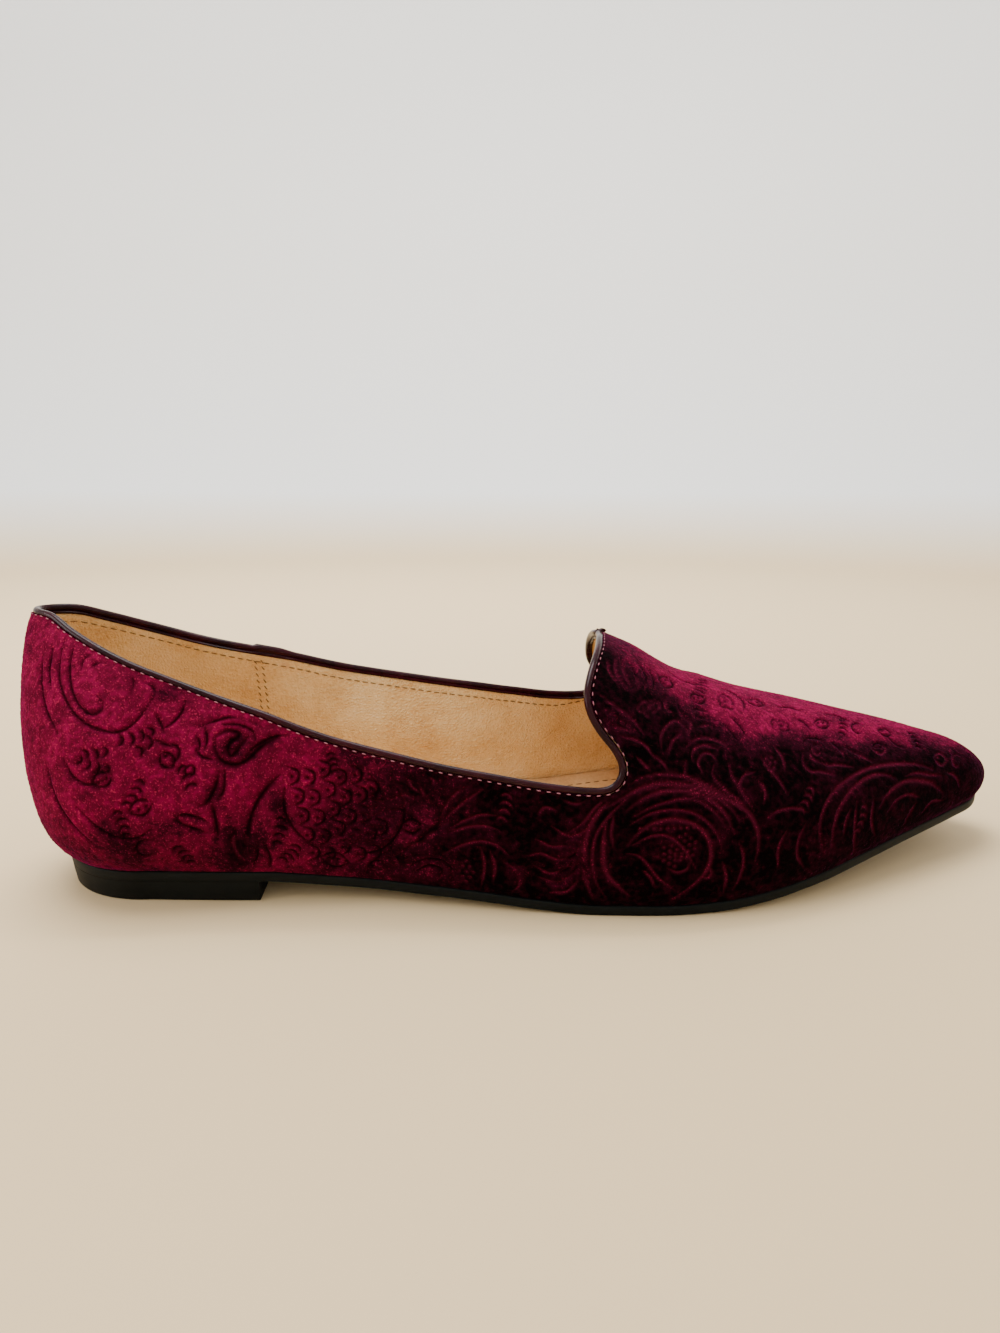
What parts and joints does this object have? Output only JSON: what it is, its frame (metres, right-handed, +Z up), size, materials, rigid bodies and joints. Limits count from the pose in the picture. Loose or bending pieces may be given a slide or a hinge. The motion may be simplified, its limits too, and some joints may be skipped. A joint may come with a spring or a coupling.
{
  "type": "loafer",
  "caption": "Right-foot slip-on loafer with a pointed toe, a tabbed vamp, a piped collar, a thin sole with toe spring and a low block heel.",
  "frame": {"origin": "middle of the heel's flat base, on the floor", "axes": "+X from heel to toe, +Y to the inner side of the foot, +Z up"},
  "size_m": [0.2525, 0.0757, 0.0675],
  "materials": {
    "velvet": "embossed pile velvet, matt with glints along the pile",
    "patent_leather": "gloss",
    "lining_leather": "soft satin, fine wrinkled grain",
    "sole_rubber": "satin"
  },
  "bodies": {
    "root": {"upper": "velvet", "piping": "patent_leather", "insole": "lining_leather", "outsole": "sole_rubber", "heel_block": "sole_rubber"}
  },
  "joints": []
}
